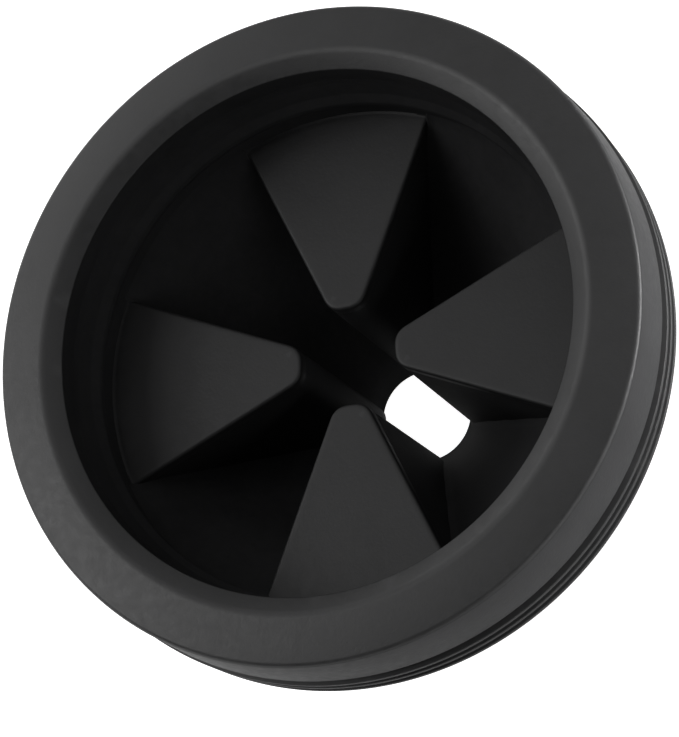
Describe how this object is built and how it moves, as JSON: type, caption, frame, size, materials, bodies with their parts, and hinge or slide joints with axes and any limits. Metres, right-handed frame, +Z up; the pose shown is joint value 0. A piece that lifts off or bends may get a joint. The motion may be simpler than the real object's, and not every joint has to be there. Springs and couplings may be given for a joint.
{
  "type": "disposer splash guard",
  "caption": "Round black rubber splash guard for a waste disposer inlet: a bevelled, ribbed collar round a pleated funnel with hinged triangular flaps.",
  "frame": {"origin": "on the ring axis at the outlet end of the funnel, which is the lowest point", "axes": "+Z up the ring axis towards the rim, +X and +Y along the middles of two neighbouring flaps"},
  "size_m": [0.086, 0.086, 0.0456],
  "materials": {
    "collar_rubber": "satin moulded rubber, finely mottled",
    "funnel_rubber": "satin moulded rubber",
    "flap_rubber": "matt moulded rubber, fine grain"
  },
  "bodies": {
    "collar": {"collar_rim": "collar_rubber", "outer_skirt": "collar_rubber", "throat_wall": "funnel_rubber", "hinge_seat": "funnel_rubber", "web_north_east": "funnel_rubber", "web_north_west": "funnel_rubber", "web_south_west": "funnel_rubber", "web_south_east": "funnel_rubber"},
    "flap_east": {"flap_east_panel": "flap_rubber", "flap_east_nose": "funnel_rubber", "flap_east_wall_left": "funnel_rubber", "flap_east_wall_right": "funnel_rubber"},
    "flap_north": {"flap_north_panel": "flap_rubber", "flap_north_nose": "funnel_rubber", "flap_north_wall_left": "funnel_rubber", "flap_north_wall_right": "funnel_rubber"},
    "flap_west": {"flap_west_panel": "flap_rubber", "flap_west_nose": "funnel_rubber", "flap_west_wall_left": "funnel_rubber", "flap_west_wall_right": "funnel_rubber"},
    "flap_south": {"flap_south_panel": "flap_rubber", "flap_south_nose": "funnel_rubber", "flap_south_wall_left": "funnel_rubber", "flap_south_wall_right": "funnel_rubber"}
  },
  "joints": [
    {"name": "flap_east_hinge", "type": "hinge", "parent": "collar", "child": "flap_east", "pos_m": [0.0306, 0, 0.029], "axis": [0, -1, 0], "range_deg": [0, 35], "stiffness_Nm_per_rad": 0.05},
    {"name": "flap_north_hinge", "type": "hinge", "parent": "collar", "child": "flap_north", "pos_m": [0, 0.0306, 0.029], "axis": [1, 0, 0], "range_deg": [0, 35], "stiffness_Nm_per_rad": 0.05},
    {"name": "flap_west_hinge", "type": "hinge", "parent": "collar", "child": "flap_west", "pos_m": [-0.0306, 0, 0.029], "axis": [0, 1, 0], "range_deg": [0, 35], "stiffness_Nm_per_rad": 0.05},
    {"name": "flap_south_hinge", "type": "hinge", "parent": "collar", "child": "flap_south", "pos_m": [0, -0.0306, 0.029], "axis": [-1, 0, 0], "range_deg": [0, 35], "stiffness_Nm_per_rad": 0.05}
  ]
}
